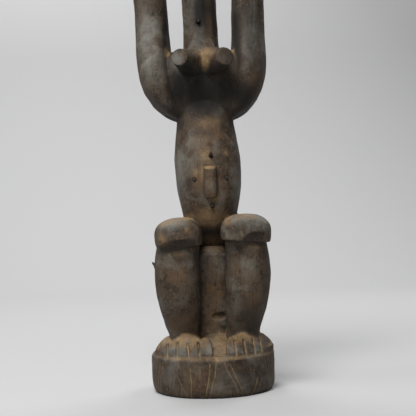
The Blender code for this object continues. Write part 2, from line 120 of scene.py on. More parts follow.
head = {
    "skull": (
        (361, -15, 8, 7), (365, -11, 14, 14), (372, -6, 19, 22.5), (382, -3, 23.3, 28),
        (394, -1, 25.8, 31.5), (407, 0.5, 26.8, 33), (420, 1, 26.6, 33), (432, 2, 24.3, 30.5),
        (442, 2.5, 19.5, 25), (450, 3, 12, 16), (454, 3, 5, 7),
    ),
    "nose": (
        (0, -31, 411, 2.5, 2.6), (0, -32.6, 404, 3, 3), (0, -34.6, 395, 4, 3.8),
        (0, -34.8, 388.6, 5.4, 3.9), (0, -32, 385, 4.4, 2.6),
    ),
    "brow": (
        (0.5, -30.6, 409.5, 2.6, 2.6), (8, -30.2, 413.5, 2.8, 3), (16, -26.2, 412.5, 2.8, 3),
        (23, -17.5, 406, 2, 2.2),
    ),
    # middle and half sizes
    "chin": ((0, -21.5, 367), (7.5, 6.5, 5.5)),
    "lips": ((0, -28, 376), (8.8, 4.8, 4.5)),
    "nostril": ((4.6, -31.5, 388), (3, 3.2, 2.8)),
    "eye": ((11.4, -27.6, 399.5), (8, 4.6, 4.8)),
    "ear": ((25.3, 3, 397), (3.2, 6.5, 9.5)),
    "earHollow": ((29, 1.5, 397), (2.6, 3.6, 6)),
    # two ends, width and depth of a groove
    "mouth": ((-10, -33, 376), (10, -33, 376), 1.5, 2.8),
    "lids": ((3, -33.4, 399), (20, -29.8, 399), 1.4, 2.8),
    "crest": (
        (0, -24, 437, 4, 3), (0, -13, 448, 4.6, 4), (0, 2, 453.5, 4.8, 5), (0, 18, 449, 4.8, 5),
        (0, 30, 435, 4.6, 4.6), (0, 35, 416, 4, 4), (0, 34, 398, 3, 3),
    ),
    "capThickness": 2.4,
    # the cap ends at a slanting plane: y and height of a middle, tilt in degrees, distance from the middle
    "hairline": (-24, 384, 36, 38.5),
    "partingWidth": 0.9,
    "plaits": (8.6, 13.4, 18, 22.2, 25.6),  # distance of each parting from the crest
}
arms = {
    "arm": (
        (24, 0, 238, 6, 12), (30, -1, 244, 9, 17.5), (36.5, -2.5, 252, 12.5, 21.5),
        (41.5, -3.5, 262, 15.5, 24.5), (45, -4, 274, 16.8, 25.5), (46.6, -3.5, 286, 17, 24.5),
        (47.2, -1, 298, 17, 22), (47.5, 1.5, 315, 16.8, 18.5), (48, 2, 335, 16.4, 16.5),
        (48.8, 1, 355, 16, 16), (49.6, 0, 373, 16, 15.5), (49.2, -1, 387, 15.8, 15.5),
        (46, -2, 401, 14.3, 14.5), (40.5, -2, 414, 12.4, 13), (34, -1, 426, 10, 11.4),
        (28.5, -0.5, 435, 7.8, 10.2), (23.5, 0, 441.5, 5, 8.5),
    ),
    "hand": (
        (33.5, 0, 427, 9, 7.5), (29.5, 0, 434, 10, 7), (24.5, -0.5, 440.5, 11.2, 6.2),
        (18, -1, 447, 11.8, 5.2), (11.5, -1, 451.5, 11.2, 4.6), (5.5, -1, 453.5, 8.5, 3.6),
    ),
    "fingerGaps": (-6.5, -1, 4.5),
}
legs = {
    # height, centre y, half width, half depth, distance from the middle
    "shin": (
        (12, -18, 17, 12, 29), (23, -19, 16.3, 13.5, 29.2), (33, -20.8, 17.2, 16, 30),
        (45, -23.3, 19.3, 18.6, 31.6), (60, -26, 21, 21, 33.2), (77, -27.5, 21.8, 21.5, 34.4),
        (93, -28.5, 21.3, 21, 34.2), (107, -29, 20.4, 20, 33), (120, -29, 19, 18, 32),
    ),
    "thigh": (
        (32, -57.3, 119.5, 10, 8), (32, -56.4, 119.5, 16, 12), (32, -53.5, 119.5, 19.8, 14.4),
        (32, -48, 119.5, 22.4, 16), (32, -40, 119.5, 23.8, 16.8), (31.5, -30, 119.5, 23.6, 17),
        (30, -15, 119, 21.5, 17.5), (26, 0, 118.5, 19.5, 18), (21, 15, 118.5, 18, 18),
        (17, 28, 118, 13, 14),
    ),
    "knee": {-1: (-0.2, 0.955, -1), 1: (1.3, 1.015, 1)},  # shift outwards, share of the width, shift up
    # flats pared off the kneecaps: a point on the flat, and the way it faces
    "kneeFlats": {
        -1: (((-32, -50, 106.8), (0.117, 0, -1)), ((-32, -57, 115.3), (0.055, -0.79, -0.61))),
        1: (((33.3, -50, 112), (-0.08, 0, -1)),),
    },
    "kneeScoop": ((43.5, -63.5, 110.5), (17, 12.8, 12)),  # middle and half sizes
    # heel to toes: y, height, inner edge, outer edge
    "foot": {
        -1: (
            (12, 9, 18, 40), (5, 15, 12, 50), (-7, 20, 8, 56.5), (-20, 22.5, 4, 59), (-31, 23, 3, 59.5),
            (-44, 23, 2.5, 60), (-58, 22, 3, 60),
        ),
        1: (
            (12, 9, 18, 40), (5, 15, 14, 50), (-7, 19, 12.5, 58), (-20, 21.5, 11.5, 61.5),
            (-31, 22.5, 11.5, 62), (-44, 23.5, 11.5, 62), (-58, 23, 12, 62),
        ),
    },
    "ankleFlat": ((-42.3, -20, 20.7), (-1, 0, -0.44)),  # on the figure's right ankle
    "footSquareness": {-1: 2.15, 1: 2.7},
    # the big toes stand up a little
    "bigToe": {
        -1: ((-30, 19, 2, 14), (-40, 20, 1.5, 13.8), (-58, 20, 1, 13.2)),
        1: ((-30, 19, 12.5, 20.5), (-40, 20, 12.3, 20.3), (-58, 20, 12.2, 20.5)),
    },
    "bigToeLift": 1.5,
    "footMargin": 0.5,
    "footSetback": 3.5,
    # the toes slope down like the side of a cone: centre y, radius at the low end, low, radius, high
    "toeSlope": (6, 63.5, 4.5, 49, 22.5),
    "toeLength": 10,
    # grooves between the toes: distance from the middle at the top, and at the tip
    "toeGrooves": {
        -1: ((15, 13), (25.2, 24), (35.3, 35.5), (45, 45)),
        1: ((20, 20.8), (29, 31), (38, 39.8), (44.8, 46)),
    },
    "ground": (
        (2, 0, 0, 15, 25), (3, -10, 0, 14.5, 22), (3.5, -20, 0, 13.5, 19), (4, -32, 0, 12.5, 12.5),
        (4, -44, 0, 11.5, 7), (4, -56, 0, 8, 1.6),
    ),
    "stoolWidth": 23.5,
    "stoolDepth": 26.5,
    "stoolMiddle": 11,
    # height, share of the width
    "stool": ((-8, 1.12), (6, 1.04), (30, 1), (92, 1), (98, 0.96), (103, 0.86), (107, 0.66)),
    "stoolNotch": ((7.5, -16.1, 37.3), (9.5, 4, 4.2)),  # middle and half sizes of a soft hollow
}


def bend(height):
    heights, shifts = zip(*logBend)
    return np.interp(height, heights, shifts)


def smoothRows(rows, steps=5):
    # rows on a smooth curve through the given ones
    rows = np.array(rows, float)
    ends = np.vstack([2 * rows[0] - rows[1], rows, 2 * rows[-1] - rows[-2]])
    out = []
    for i in range(1, len(ends) - 2):
        a, b, c, d = ends[i - 1 : i + 3]
        for t in np.arange(steps) / steps:
            curve = 2 * b + (c - a) * t + (2 * a - 5 * b + 4 * c - d) * t**2 + (3 * b - a - 3 * c + d) * t**3
            out.append(0.5 * curve)
    out.append(rows[-1])
    return np.array(out)


def oval(sides, squareness, far=None):
    # 2 is an ellipse and more is boxier; far is for the +y half
    turn = np.arange(sides) * 2 * math.pi / sides
    power = np.where(np.sin(turn) > 0, 2 / (far or squareness), 2 / squareness)
    x = np.sign(np.cos(turn)) * np.abs(np.cos(turn)) ** power
    y = np.sign(np.sin(turn)) * np.abs(np.sin(turn)) ** power
    return np.column_stack([x, y])


def turnOutwards(bm):
    if bm.calc_volume(signed=True) < 0:
        bmesh.ops.reverse_faces(bm, faces=bm.faces)


def placeObject(name, bm):
    mesh = bpy.data.meshes.new(name)
    bm.to_mesh(mesh)
    bm.free()
    made = bpy.data.objects.new(name, mesh)
    bpy.context.scene.collection.objects.link(made)
    return made


def keepForm(name, bm, bent=True):
    # bends the form with the log, stands it on the plinth and turns its faces outwards
    for vertex in bm.verts:
        x, y, z = vertex.co
        shift = float(bend(z)) if bent and z > 0 else 0
        lift = plinth["height"] if bent else 0
        vertex.co = (Vector((x + shift, y, z + lift))) * mm
    turnOutwards(bm)
    return placeObject(name, bm)


def closedSkin(rings):
    # a skin through the rings, closed at both ends
    bm = bmesh.new()
    loops = [[bm.verts.new(p) for p in ring] for ring in rings]
    count = len(loops[0])
    for low, high in zip(loops, loops[1:]):
        for i in range(count):
            j = (i + 1) % count
            bm.faces.new((low[i], low[j], high[j], high[i]))
    bm.faces.new(loops[0][::-1])
    bm.faces.new(loops[-1])
    return bm


def levelForm(name, rows, side=0, squareness=2.2, spine=0.0):
    unit = oval(72, squareness)
    turn = np.arctan2(unit[:, 1], unit[:, 0])
    dent = 1 - spine * np.exp(-(((turn - math.pi / 2) / 0.22) ** 2))
    rings = []
    for row in smoothRows(rows):
        height, y, width, depth = row[:4]
        x = side * row[4] if side else 0
        rings.append([(x + width * u, y + depth * v * d, height) for (u, v), d in zip(unit, dent)])
    return keepForm(name, closedSkin(rings))


def limbForm(name, rows, side=1, squareness=2.2, across=Vector((1, 0, 0)), far=None):
    rows = smoothRows(rows)
    rows[:, 0] *= side
    unit = oval(64, squareness, far)
    runs = np.gradient(rows[:, :3], axis=0)
    rings = []
    for run, row in zip(runs, rows):
        along = Vector(run).normalized()
        wide = (across - along * across.dot(along)).normalized()
        thick = along.cross(wide)
        middle = Vector(row[:3])
        rings.append([middle + wide * (row[3] * u) + thick * (row[4] * v) for u, v in unit])
    return keepForm(name, closedSkin(rings))


def ballForm(name, centre, radii):
    bm = bmesh.new()
    bmesh.ops.create_uvsphere(bm, u_segments=40, v_segments=24, radius=1)
    bm.transform(Matrix.Translation(centre) @ Matrix.Diagonal((*radii, 1)))
    return keepForm(name, bm)


def coneForm(name, start, end, startRadius, endRadius, sides=64, bent=True):
    start, end = Vector(start), Vector(end)
    bm = bmesh.new()
    length = (end - start).length
    radii = {"radius1": startRadius, "radius2": endRadius}
    bmesh.ops.create_cone(bm, cap_ends=True, segments=sides, depth=length, **radii)
    turn = (end - start).to_track_quat("Z", "Y").to_matrix().to_4x4()
    bm.transform(Matrix.Translation((start + end) / 2) @ turn)
    return keepForm(name, bm, bent)


def vKnife(name, start, end, width, depth, up):
    # a bar with a diamond section, which cuts a V groove
    start, end, up = Vector(start), Vector(end), Vector(up)
    along = (end - start).normalized()
    wide = up.cross(along).normalized()
    up = along.cross(wide)
    bm = bmesh.new()
    bmesh.ops.create_cone(bm, cap_ends=True, segments=4, radius1=1, radius2=1, depth=(end - start).length)
    turn = Matrix((wide, up, along)).transposed().to_4x4()
    bm.transform(Matrix.Translation((start + end) / 2) @ turn @ Matrix.Diagonal((width / 2, depth, 1, 1)))
    return keepForm(name, bm)


def pare(form, point, facing):
    # pares a closed form down to a flat through a point, as a chisel does
    lift = Vector((float(bend(point[2])), 0, plinth["height"]))
    bm = bmesh.new()
    bm.from_mesh(form.data)
    everything = bm.verts[:] + bm.edges[:] + bm.faces[:]
    place = (Vector(point) + lift) * mm
    done = bmesh.ops.bisect_plane(bm, geom=everything, plane_co=place, plane_no=facing, clear_outer=True)
    rim = [item for item in done["geom_cut"] if isinstance(item, bmesh.types.BMEdge)]
    bmesh.ops.edgeloop_fill(bm, edges=rim)
    bmesh.ops.recalc_face_normals(bm, faces=bm.faces)
    turnOutwards(bm)
    bm.to_mesh(form.data)
    bm.free()


def applyModifiers(made):
    bpy.context.view_layer.update()
    mesh = bpy.data.meshes.new_from_object(made.evaluated_get(bpy.context.evaluated_depsgraph_get()))
    made.modifiers.clear()
    made.data = mesh


def cut(form, cutters, operation="DIFFERENCE"):
    # cuts the form and then throws the cutters away
    for cutter in cutters:
        modifier = form.modifiers.new("cut", "BOOLEAN")
        modifier.operation = operation
        modifier.object = cutter
    applyModifiers(form)
    for cutter in cutters:
        bpy.data.objects.remove(cutter)
    return form


drill = {"radius": 2.05, "past": 12, "below": 0.3}


def pegHole(node):
    # the drilled hole for one peg, a little wide and deep, in world millimetres
    low, high = (np.array(corner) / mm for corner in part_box(node))
    middle, size = (low + high) / 2, high - low
    axis = int(np.argmax(size))
    start, end = middle.copy(), middle.copy()
    start[axis] = low[axis] - drill["past"]
    end[axis] = high[axis] + drill["below"]
    return coneForm("hole", start, end, drill["radius"], drill["radius"], 32, bent=False)


def plinthForm():
    height = plinth["height"]
    edge = plinth["radius"]
    profile = [(0.5, plinth["crown"]), (edge - plinth["topBevel"], plinth["crown"]), (edge, 0)]
    for t in np.radians(np.arange(0, 91, 10)):
        inwards = plinth["bottomIn"] * (1 - math.cos(t))
        profile.append((edge - inwards, plinth["bottomUp"] * (1 - math.sin(t)) - height))
    sides = 144
    rings = []
    for radius, z in profile:
        turns = [2 * math.pi * i / sides for i in range(sides)]
        rings.append([(radius * math.cos(t), radius * math.sin(t), z) for t in turns])
    return keepForm("plinth", closedSkin(rings))


def toeHeight(x, y):
    middle, lowRadius, low, highRadius, high = legs["toeSlope"]
    return low + (high - low) * (lowRadius - math.hypot(x, y - middle)) / (lowRadius - highRadius)


def slopedForm(rows, side, squareness, lift=0):
    # a block on the plinth, rounded with its rim and sloped down towards it
    rows = [((i + o) / 2, y, 0, (o - i) / 2, top) for y, top, i, o in rows]
    block = limbForm("block", rows, side=side, squareness=squareness)
    reach = plinth["radius"] - legs["footMargin"]
    back = legs["footSetback"]
    middle, lowRadius, low, highRadius, high = legs["toeSlope"]
    steep = (lowRadius - highRadius) / (high - low)
    below, above = 20, 10  # the cone runs on past both ends of the slope
    foot, top = (0, middle, low + lift - below), (0, middle, high + lift + above)
    rim = coneForm("rim", (0, back, -20), (0, back, 40), reach, reach, 144)
    slope = coneForm("slope", foot, top, lowRadius + steep * below, highRadius - steep * above, 144)
    cut(block, [rim], "INTERSECT")
    return cut(block, [slope], "INTERSECT")


def footForm(side):
    block = slopedForm(legs["foot"][side], side, legs["footSquareness"][side])
    reach = plinth["radius"] - legs["footMargin"]
    back = legs["footSetback"]
    knives = []
    for highX, tipX in legs["toeGrooves"][side]:
        tipY = back - math.sqrt(reach**2 - tipX**2)
        highY = tipY + legs["toeLength"]
        start = (side * highX, highY, toeHeight(highX, highY))
        end = (side * tipX, tipY - 2, toeHeight(tipX, tipY - 2))
        knives.append(vKnife("toe groove", start, end, 3, 3.2, (0, 0, 1)))
    return cut(block, knives)


def bodyForms():
    belly = levelForm("belly", torso["belly"], squareness=2.4, spine=0.1)
    cut(belly, [pegHole(f"belly_peg_{place}") for place in ("top", "right", "left", "bottom")])
    neck = levelForm("neck", torso["neck"])
    pare(neck, *torso["neckFlat"])
    cut(neck, [pegHole("neck_peg")])
    forms = [belly, neck, levelForm("chest", torso["chest"], squareness=2.3, spine=0.12)]
    collar = levelForm("collar", torso["collar"], squareness=2.8)
    pare(collar, *torso["collarFlat"])
    navel = limbForm("navel", torso["navel"], squareness=2.6)
    for point, facing in torso["navelFlats"]:
        pare(navel, point, facing)
    forms += [collar, navel]
    for side in (-1, 1):
        root, rootRadius, tip, tipRadius = torso["breasts"][side]
        forms.append(coneForm("breast", root, tip, rootRadius, tipRadius))
        for name in ("shoulder blade", "buttock"):
            (out, depth, height), radii = torso[name]
            forms.append(ballForm(name, (side * out, depth, height), radii))
    return forms


def legForms():
    forms = []
    for side in (-1, 1):
        shin = levelForm("shin", legs["shin"], side=side, squareness=2.3)
        if side < 0:
            cut(shin, [pegHole("calf_peg")])
            pare(shin, *legs["ankleFlat"])
        out, share, up = legs["knee"][side]
        rows = [(x + out, y, z + up, wide * share, through) for x, y, z, wide, through in legs["thigh"]]
        thigh = limbForm("thigh", rows, side=side, squareness=2.3, far=3.4)
        for point, facing in legs["kneeFlats"][side]:
            pare(thigh, point, facing)
        if side > 0:
            cut(thigh, [ballForm("knee scoop", *legs["kneeScoop"])])
        bigToe = slopedForm(legs["bigToe"][side], side, 2.7, legs["bigToeLift"])
        forms += [shin, thigh, footForm(side), bigToe]
    wide, deep, middle = legs["stoolWidth"], legs["stoolDepth"], legs["stoolMiddle"]
    rows = [(z, middle, wide * share, deep * share) for z, share in legs["stool"]]
    stool = levelForm("stool", rows, squareness=2.7)
    cut(stool, [ballForm("notch", *legs["stoolNotch"])])
    return forms + [stool, limbForm("ground", legs["ground"], squareness=3.4), plinthForm()]


def armForms():
    forms = []
    for side in (-1, 1):
        forms.append(limbForm("arm", arms["arm"], side=side))
        hand = limbForm("hand", arms["hand"], side=side, squareness=2.5, across=Vector((0, 1, 0)))
        gaps = []
        for y in arms["fingerGaps"]:
            gaps.append(vKnife("gap", (side * 20, y, 453.5), (side, y, 459), 2, 4.2, (side * 0.45, 0, 1)))
        forms.append(cut(hand, gaps))
    return forms


def headForms():
    forms = [levelForm("skull", head["skull"]), limbForm("nose", head["nose"])]
    forms.append(ballForm("chin", *head["chin"]))
    ahead = (0, -1, 0)
    forms.append(cut(ballForm("lips", *head["lips"]), [vKnife("mouth", *head["mouth"], ahead)]))
    for side in (-1, 1):
        ball = {}
        for name in ("nostril", "eye", "ear", "earHollow"):
            (out, depth, level), radii = head[name]
            ball[name] = ballForm(name, (side * out, depth, level), radii)
        inner, outer, width, deep = head["lids"]
        lids = vKnife("lids", (side * inner[0], *inner[1:]), (side * outer[0], *outer[1:]), width, deep, ahead)
        forms += [ball["nostril"], cut(ball["eye"], [lids])]
        forms.append(limbForm("brow", head["brow"], side=side, across=Vector((0, 0, 1))))
        forms.append(cut(ball["ear"], [ball["earHollow"]]))
    more = head["capThickness"]
    cap = levelForm("cap", [(z, y + 0.6, w + more, d + more) for z, y, w, d in head["skull"][2:-1]])
    block = bmesh.new()
    bmesh.ops.create_cube(block, size=2)
    away, height, tilt, reach = head["hairline"]
    slant = Matrix.Rotation(math.radians(-tilt), 4, "X") @ Matrix.Diagonal((40, 80, reach, 1))
    block.transform(Matrix.Translation((0, away, height)) @ slant)
    forms.append(cut(cap, [keepForm("hairline", block)]))
    forms.append(limbForm("crest", head["crest"]))
    return forms


def asArrays(mesh):
    points = np.empty(len(mesh.vertices) * 3, np.float32)
    normals = np.empty(len(mesh.vertices) * 3, np.float32)
    edges = np.empty(len(mesh.edges) * 2, np.int32)
    mesh.vertices.foreach_get("co", points)
    mesh.vertices.foreach_get("normal", normals)
    mesh.edges.foreach_get("vertices", edges)
    return points.reshape(-1, 3).astype(float), normals.reshape(-1, 3).astype(float), edges.reshape(-1, 2)


def fused(forms):
    joined = bmesh.new()
    for form in forms:
        joined.from_mesh(form.data)
        bpy.data.objects.remove(form)
    made = placeObject("carvedFigure", joined)
    remesh = made.modifiers.new("fuse", "REMESH")
    remesh.mode = "VOXEL"
    remesh.voxel_size = carving["voxel"] * mm
    remesh.use_smooth_shade = True
    soften = made.modifiers.new("soften", "SMOOTH")
    soften.factor = 0.5
    soften.iterations = carving["soften"]
    applyModifiers(made)
    return made


def spread(values, edges, rounds):
    # averages each value with its neighbours, some rounds over
    count = len(values)
    neighbours = np.bincount(edges.ravel(), minlength=count).clip(1)
    values = values.copy()
    for _ in range(rounds):
        for axis in range(values.shape[1]):
            total = np.bincount(edges[:, 0], values[edges[:, 1], axis], count)
            total += np.bincount(edges[:, 1], values[edges[:, 0], axis], count)
            values[:, axis] = total / neighbours
    return values


def lattice(cells, seed):
    i, j, k = cells.astype(np.int64).T
    mixed = (i * 73856093) ^ (j * 19349663) ^ (k * 83492791) ^ (seed * 2654435761)
    mixed = (mixed ^ (mixed >> 13)) * 1274126177
    return ((mixed ^ (mixed >> 16)) & 0xFFFF) / 32767.5 - 1


def cloud(points, size, seed):
    # soft random lumps of about this size in millimetres, from -1 to 1
    grid = points / (np.array(size) * mm)
    low = np.floor(grid)
    part = grid - low
    part = part * part * (3 - 2 * part)
    total = np.zeros(len(points))
    for corner in np.ndindex(2, 2, 2):
        share = np.prod(np.where(corner, part, 1 - part), axis=1)
        total += share * lattice(low + corner, seed)
    return total


def near(flat, path, width):
    # 1 on a path across a flat map of the surface, falling to 0 at half its width
    reach = width / 2
    path = np.array(path, float)
    found = np.zeros(len(flat))
    low, high = path.min(axis=0) - reach, path.max(axis=0) + reach
    some = np.flatnonzero(np.all((flat > low) & (flat < high), axis=1))
    for a, b in zip(path, path[1:]):
        run = b - a
        share = ((flat[some] - a) @ run / max(run @ run, 1e-9)).clip(0, 1)
        away = np.linalg.norm(flat[some] - a - share[:, None] * run, axis=1)
        found[some] = np.maximum(found[some], (1 - away / reach).clip(0, 1))
    return found


def blob(flat, middle, radii):
    away = np.linalg.norm((flat - np.array(middle)) / np.array(radii), axis=1)
    return np.clip(1.4 - away * 1.4, 0, 1) ** 1.2


print("stage 2: fusing the forms")
figure = fused(bodyForms() + legForms() + armForms() + headForms())
points, normals, edges = asArrays(figure.data)
print(len(points), "points in the fused skin")

# Maps of the skin that the cuts and stains are laid out on, in world millimetres
x, y, z = (points / mm).T
front = np.column_stack([x, z])
turn = np.degrees(np.arctan2(x, -y))
around = np.column_stack([np.radians(turn) * plinth["radius"], z])
outwards = np.hypot(x, y)
facesFront = np.clip(-normals[:, 1] * 3 - 0.3, 0, 1)
onRim = (outwards > plinth["radius"] - 7) & (z < plinth["height"] + 1) & (normals[:, 2] > -0.8)
chance = np.random.default_rng(carving["seed"])

# Grooves on the plinth's side: angle from the front, height above the underside
cutLines = {
    "width": 1.5,
    "depth": 0.75,
    "seen": (
        ((-3.1, 33), (-4.7, 18.5), (-8, 3)),
        ((2.5, 36), (0.9, 22), (-1.2, 15.7), (-4.8, 0)),
        ((9.2, 35.5), (12.1, 26.6), (18.6, 13.6), (23.2, 0)),
        ((14.8, 33), (18.9, 22.8), (23.1, 12.3), (26.9, 4)),
        ((42.6, 17), (38.1, 0)),
        ((-21.5, 29), (-20.5, 16.6), (-21.8, 1)),
    ),
    "faint": (
        ((47.9, 15.6), (44.3, 1)),
        ((-35.1, 22.4), (-25.7, 3)),
        ((-12.1, 31.7), (-12.5, 18.6)),
        ((-34.1, 34.3), (-32.8, 30)),
        ((33.4, 29.7), (35.1, 24.3)),
        ((-54, 28.3), (-52.9, 21.7)),
        ((-43, 20), (-45, 6)),
        ((-30, 14), (-31.5, 2)),
    ),
    # slanting pairs that go on round the sides and back, from one angle to another
    "pairsBehind": 10,
    "firstPair": 62,
    "lastPair": 300,
    "pairGap": 5.2,
    "pairLean": 5,
}


def plinthLines():
    dust = np.zeros(len(points))
    deep = np.zeros(len(points))
    lines = [(path, 1) for path in cutLines["seen"]] + [(path, 0.55) for path in cutLines["faint"]]
    first, last = cutLines["firstPair"], cutLines["lastPair"]
    for number in range(cutLines["pairsBehind"]):
        middle = first + (last - first) * number / (cutLines["pairsBehind"] - 1)
        lean = cutLines["pairLean"] * (1 if number % 2 else -1)
        for gap in (-cutLines["pairGap"] / 2, cutLines["pairGap"] / 2):
            high, low = chance.uniform(31, 36), chance.uniform(0, 4)
            slip = chance.uniform(-1, 1)
            path = ((middle + gap + lean + slip, high), (middle + gap + slip, 18), (middle + gap - lean, low))
            lines.append((path, chance.uniform(0.6, 1)))
    for path, strength in lines:
        for whole in (0, 360):
            flat = [(math.radians(angle - whole) * plinth["radius"], height) for angle, height in path]
            mark = near(around, flat, cutLines["width"]) * onRim
            deep = np.maximum(deep, mark * strength)
            dust = np.maximum(dust, np.minimum(1, mark * 1.5) * strength * 0.72)
    return deep * cutLines["depth"], dust


print("stage 3: cutting lines, facets and wear")
lineDepth, lineDust = plinthLines()
points -= normals * (lineDepth * mm)[:, None]


def treeOf(places):
    tree = KDTree(len(places))
    for i, place in enumerate(places):
        tree.insert(place, i)
    tree.balance()
    return tree


def adzeFacets():
    # shallow scoops along the grain, which meet in soft ridges
    stretch = np.array((1 / carving["facetWidth"], 1 / carving["facetWidth"], 1 / carving["facetLength"])) / mm
    tree = treeOf(points[chance.choice(len(points), carving["facets"], replace=False)] * stretch)
    stretched = points * stretch
    away = np.fromiter((tree.find(p)[2] for p in stretched), float, len(stretched))
    return np.clip(away, 0, 0.9) ** 2


# the face is finished smoother, and the underside is left flat
onFace = blob(front, (-2, 428), (24, 34)) * facesFront * (y < -12)
meanScoop = 0.22  # so that the facets add as much as they take
scoops = adzeFacets() - meanScoop
calm = 1 - 0.85 * np.minimum(1, onFace * 1.5)
calm[(normals[:, 2] < -0.85) & (z < 2)] = 0
wobble = sum(cloud(points, size, seed) * height for size, seed, height in carving["wobble"])
points += normals * ((scoops * carving["facetDepth"] * 2 + wobble) * calm * mm)[:, None]

# Drying cracks. Front and back ones are laid out on x and height, the rim's on angle and height
cracks = {
    "behind": (
        ((-9, 262), (-8, 232), (-10, 205), (-8.5, 176)),
        ((11, 130), (12, 95), (10.5, 60)),
        ((-6, 128), (-5, 88), (-6.5, 48)),
        ((6, 470), (7.5, 440), (6, 418)),
    ),
    "ahead": (
        ((6, 118), (5, 96), (6.5, 80)),
        ((-5, 112), (-6, 99)),
        ((50, 352), (51.5, 377), (50.5, 397)),
        ((41, 108), (40, 92), (41, 80)),
    ),
    "rim": (
        ((75, 36), (76, 20), (74.5, 3)),
        ((196, 36), (195, 24), (196.5, 12)),
        ((262, 34), (263.5, 18), (262, 2)),
    ),
    "width": 1.15,
    "depth": 0.8,
}


def jagged(path, amount):
    path = smoothRows(path, 5)
    path[1:-1, 0] += chance.uniform(-amount, amount, len(path) - 2)
    return path


def dryingCracks():
    found = np.zeros(len(points))
    behind = normals[:, 1] > 0.3
    ahead = normals[:, 1] < -0.3
    for path in cracks["behind"]:
        found = np.maximum(found, near(front, jagged(path, 0.35), cracks["width"]) * behind)
    for path in cracks["ahead"]:
        found = np.maximum(found, near(front, jagged(path, 0.3), cracks["width"] * 0.85) * ahead * 0.8)
    for path in cracks["rim"]:
        for whole in (0, 360):
            wandering = jagged(path, 0.35)
            flat = [(math.radians(angle - whole) * plinth["radius"], height) for angle, height in wandering]
            found = np.maximum(found, near(around, flat, cracks["width"]) * onRim)
    return found


crackMark = dryingCracks()
points -= normals * (crackMark * cracks["depth"] * mm)[:, None]

# Pits on the front: x, height, size, depth
pits = (
    (-46.5, 149, 2.6, 0.8), (-24, 160, 2, 0.5), (34, 155, 2, 0.6), (4, 104, 2.2, 0.8), (7.5, 99, 2, 0.7),
    (6, 121, 1.8, 0.6), (-8, 118, 1.8, 0.5), (17, 198, 1.6, 0.4), (15, 238, 1.8, 0.3), (-20, 226, 2, 0.4),
    (-3.5, 83, 2, 0.6), (50, 160, 1.8, 0.5), (-33, 92, 2, 0.4), (28, 118, 2.2, 0.5), (-56, 328, 2, 0.4),
    (51, 341, 2.2, 0.4), (-47, 372, 2, 0.35), (0, 252, 2, 0.3),
)
pitMark = np.zeros(len(points))
for px, pz, size, depth in pits:
    spot = blob(front, (px, pz), (size, size * 1.3)) * (normals[:, 1] < -0.2)
    pitMark = np.maximum(pitMark, spot)
    points -= normals * (spot * depth * mm)[:, None]
knocks = np.zeros(len(points))
for angle in chance.uniform(0, 360, carving["knocks"]):
    height = chance.choice((1.5, 34.5))
    size = chance.uniform(1.5, 4)
    centre = (((angle + 180) % 360 - 180) / 180 * math.pi * plinth["radius"], height)
    knocks = np.maximum(knocks, blob(around, centre, (size, size * 0.7)) * onRim * chance.uniform(0.3, 0.9))
points -= normals * (knocks * mm)[:, None]


def hairPartings():
    # plaits run back from the hairline, on the cap only
    rows = np.array(head["skull"])
    more = head["capThickness"]
    level = z - plinth["height"]
    middleY = np.interp(level, rows[:, 0], rows[:, 1]) + 0.6
    wide = np.interp(level, rows[:, 0], rows[:, 2]) + more
    deepY = np.interp(level, rows[:, 0], rows[:, 3]) + more
    side = x - bend(level)
    shell = (np.abs(side / wide) ** 2.2 + np.abs((y - middleY) / deepY) ** 2.2) ** (1 / 2.2)
    onCap = (np.abs(shell - 1) < 0.045) & (level > 380)
    lineY, lineHeight, tilt, reach = head["hairline"]
    tilt = math.radians(tilt)
    onCap &= (y - lineY) * math.sin(tilt) + (level - lineHeight) * math.cos(tilt) > reach + 1
    mark = np.zeros(len(points))
    for away in head["plaits"]:
        mark = np.maximum(mark, (1 - np.abs(np.abs(side) - away) / head["partingWidth"]).clip(0, 1))
    return mark * onCap


partings = spread(hairPartings()[:, None], edges, 1)[:, 0]
points -= normals * (partings * 0.9 * mm)[:, None]

# The underside is sawn flat
flatUnder = (z < 1.2) & (normals[:, 2] < -0.8)
points[flatUnder, 2] = 0
points[:, 2] = np.maximum(points[:, 2], 0)

# the masks below carry painted shade and painted highlight as well as dust, bloom and stains
print("stage 4: dust, polish and stains")
broad = spread(points, edges, 70)
fine = spread(points, edges, 6)
hollowBroad = np.einsum("ij,ij->i", broad - points, normals) / mm
hollowFine = np.einsum("ij,ij->i", fine - points, normals) / mm
hollow = np.clip(hollowBroad * 0.9, 0, 1)
crevice = np.clip(hollowFine * 4.5, 0, 1)

